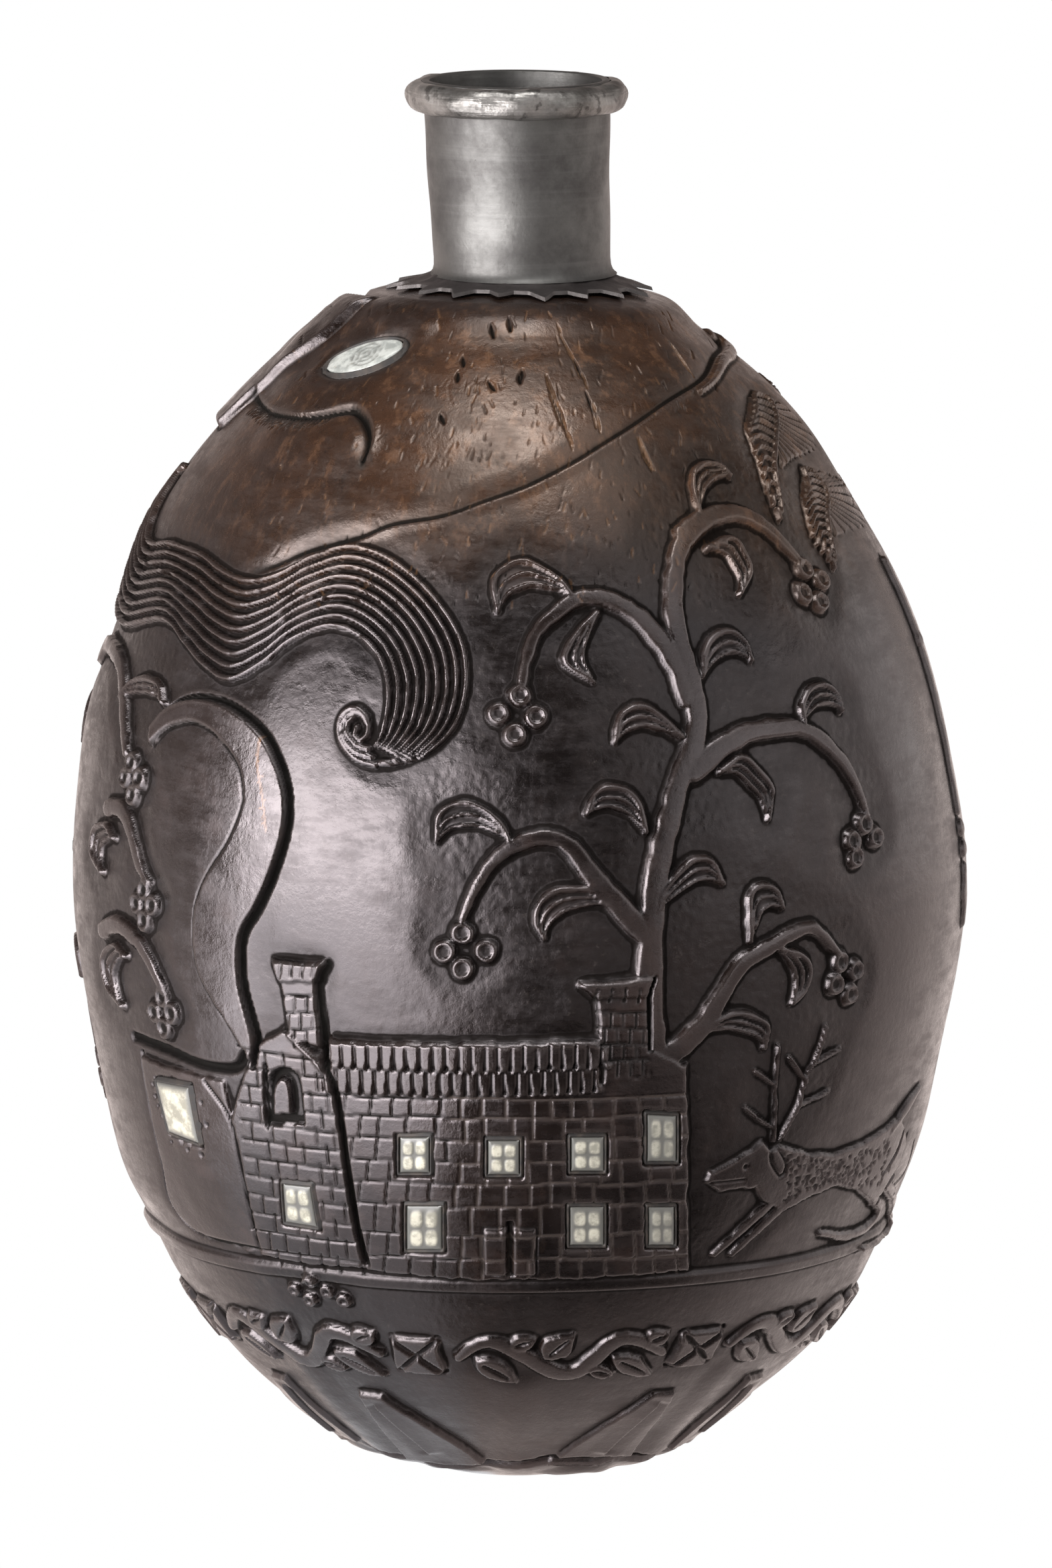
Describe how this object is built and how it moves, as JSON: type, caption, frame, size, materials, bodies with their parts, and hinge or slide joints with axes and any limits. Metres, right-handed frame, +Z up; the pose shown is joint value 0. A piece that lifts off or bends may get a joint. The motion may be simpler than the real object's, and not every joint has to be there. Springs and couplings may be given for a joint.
{
  "type": "carved coconut flask",
  "caption": "Coconut carved all over in low relief with a house, weeping trees, a stag and a mask, fitted with a toothed pewter neck and pale shell inlays.",
  "frame": {"origin": "centre of the small flat foot that the nut stands on", "axes": "+Z up along the neck, -Y towards the side with the carved house"},
  "size_m": [0.0945, 0.0948, 0.148],
  "materials": {
    "coconut": "polished dark coconut shell, waxed, with brown fibre streaks",
    "pewter": "dark tarnished pewter with bright worn edges",
    "shell_inlay": "polished pale shell",
    "mastic": "black pitch mastic"
  },
  "bodies": {
    "root": {"coconut_shell": "coconut", "neck_tube": "pewter", "rim_bead": "pewter", "collar_flange": "pewter", "pitch_seal": "mastic", "window_upper_1_inlay": "shell_inlay", "window_upper_1_bed": "mastic", "window_upper_2_inlay": "shell_inlay", "window_upper_2_bed": "mastic", "window_upper_3_inlay": "shell_inlay", "window_upper_3_bed": "mastic", "window_upper_4_inlay": "shell_inlay", "window_upper_4_bed": "mastic", "window_lower_1_inlay": "shell_inlay", "window_lower_1_bed": "mastic", "window_lower_2_inlay": "shell_inlay", "window_lower_2_bed": "mastic", "window_lower_3_inlay": "shell_inlay", "window_lower_3_bed": "mastic", "window_wing_inlay": "shell_inlay", "window_wing_bed": "mastic", "window_barn_inlay": "shell_inlay", "window_barn_bed": "mastic", "eye_front_inlay": "shell_inlay", "eye_front_bed": "mastic", "eye_back_inlay": "shell_inlay", "eye_back_bed": "mastic"}
  },
  "joints": []
}
